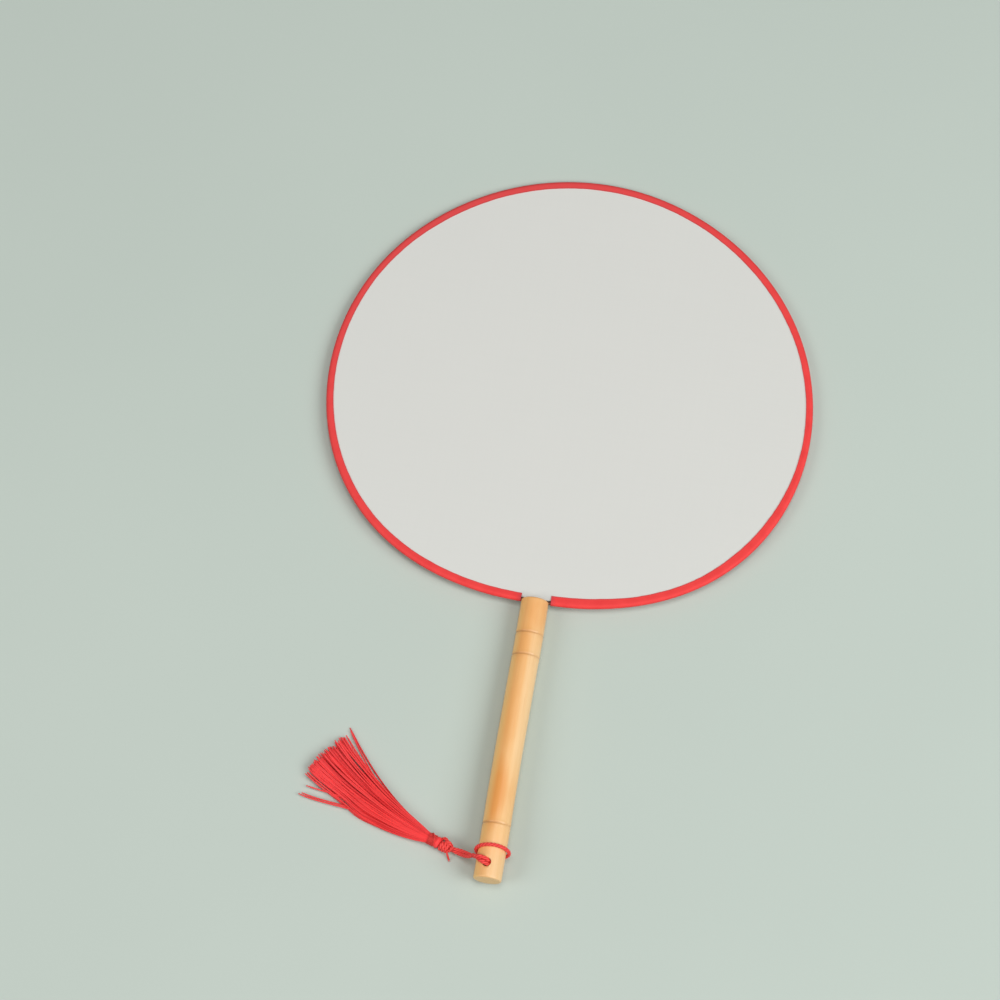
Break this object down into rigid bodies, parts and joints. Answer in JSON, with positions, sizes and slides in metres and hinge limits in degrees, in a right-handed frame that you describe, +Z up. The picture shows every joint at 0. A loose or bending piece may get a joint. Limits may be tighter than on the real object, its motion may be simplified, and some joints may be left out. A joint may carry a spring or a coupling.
{
  "type": "round hand fan",
  "caption": "Round hand fan: cloth stretched on a wire ring with a folded red edge tape, a bamboo handle, and a red cord with a thread tassel at the butt.",
  "frame": {"origin": "on the table under the middle of the fan's length from butt to far rim, the fan lying face up and the cord and tassel not counted", "axes": "+Y along the table from the handle's butt to the far rim, +X to the right as seen with the handle below the leaf, +Z up out of the leaf's front face; the fan rests on its far rim and the handle's upper end, so its plane leans 1.3 degrees from the table"},
  "size_m": [0.2454, 0.3732, 0.0197],
  "materials": {
    "bamboo": "satin, honey-brown",
    "sliver": "raw split bamboo",
    "wire": "dull, browned",
    "cloth": "matt white plain weave",
    "tape": "matt red folded tape",
    "cord": "soft red two-strand cord",
    "thread": "silky red thread"
  },
  "bodies": {
    "fan": {"handle": "bamboo", "ring_wire": "wire", "front_wedge": "sliver", "back_wedge": "sliver", "leaf_front": "cloth", "leaf_back": "cloth", "edge_tape": "tape", "hitch_loop": "cord"},
    "cord": {"drop_cord": "cord"},
    "tassel": {"cord_knot": "cord", "tassel_head": "thread", "neck_binding": "cord", "knot_tail": "cord", "skirt": "thread"}
  },
  "joints": [
    {"name": "cord_lift", "type": "hinge", "parent": "fan", "child": "cord", "pos_m": [-0.00208, -0.17896, 0.01822], "axis": [0, 0.9997, -0.023], "range_deg": [0, 140]},
    {"name": "tassel_swing", "type": "hinge", "parent": "cord", "child": "tassel", "pos_m": [-0.0203, -0.17285, 0.0034], "axis": [0, 0, 1], "range_deg": [-35, 35]}
  ]
}
